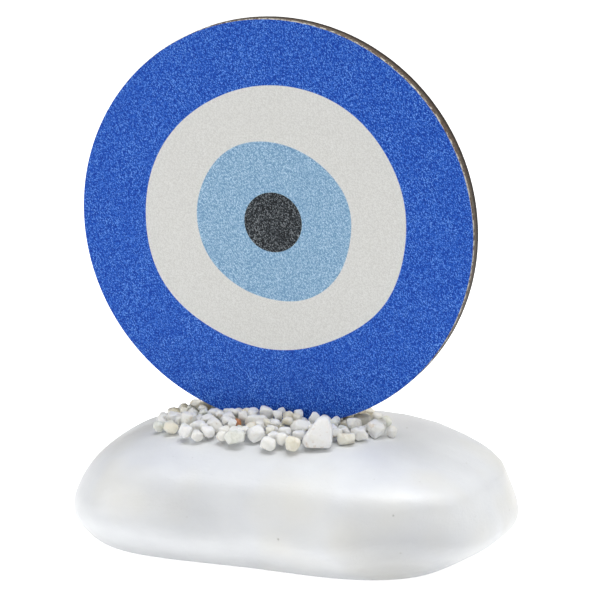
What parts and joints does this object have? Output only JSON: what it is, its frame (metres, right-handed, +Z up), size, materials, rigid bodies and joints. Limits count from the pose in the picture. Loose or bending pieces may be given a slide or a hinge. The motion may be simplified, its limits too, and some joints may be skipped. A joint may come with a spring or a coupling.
{
  "type": "evil eye ornament",
  "caption": "Round painted eye disc standing upright in a smooth white stone, its foot bedded in white marble gravel; a tabletop ornament.",
  "frame": {"origin": "on the table under the middle of the stone", "axes": "+Z up, the eye looks along -Y, +X to the viewer's right when facing the eye"},
  "size_m": [0.1221, 0.0747, 0.1435],
  "materials": {
    "stone_paint": "cast gypsum plaster under matt white paint",
    "board": "medium density fibreboard, laser cut, edge scorched dark brown",
    "adhesive": "set white assembly adhesive",
    "film_blue": "deep blue, fine leathery grain, satin",
    "film_white": "off-white, fine leathery grain, satin",
    "film_light_blue": "light blue, fine leathery grain, satin",
    "film_black": "speckled near black, satin",
    "marble_white": "broken and tumbled white marble",
    "marble_cream": "broken and tumbled cream marble",
    "marble_grey": "broken and tumbled grey-green marble",
    "marble_rust": "marble stained rust brown"
  },
  "bodies": {
    "root": {"back_cream_gravel": "marble_cream", "back_grey_gravel": "marble_grey", "back_left_white_gravel": "marble_white", "back_middle_white_gravel": "marble_white", "back_right_white_gravel": "marble_white", "blue_field": "film_blue", "boulder_chip": "marble_white", "cream_block_chip": "marble_cream", "eye_board": "board", "flat_chip": "marble_white", "front_cream_gravel": "marble_cream", "front_grey_gravel": "marble_grey", "front_left_white_gravel": "marble_white", "front_middle_white_gravel": "marble_white", "front_right_white_gravel": "marble_white", "green_grey_chip": "marble_grey", "left_twin_chip": "marble_white", "light_blue_field": "film_light_blue", "long_chip": "marble_white", "pupil_field": "film_black", "right_twin_chip": "marble_white", "rust_chip": "marble_rust", "slab_chip": "marble_white", "slot_adhesive": "adhesive", "stone_base": "stone_paint", "tan_chip": "marble_cream", "wedge_chip": "marble_white", "white_field": "film_white", "yellow_chip": "marble_cream"}
  },
  "joints": []
}
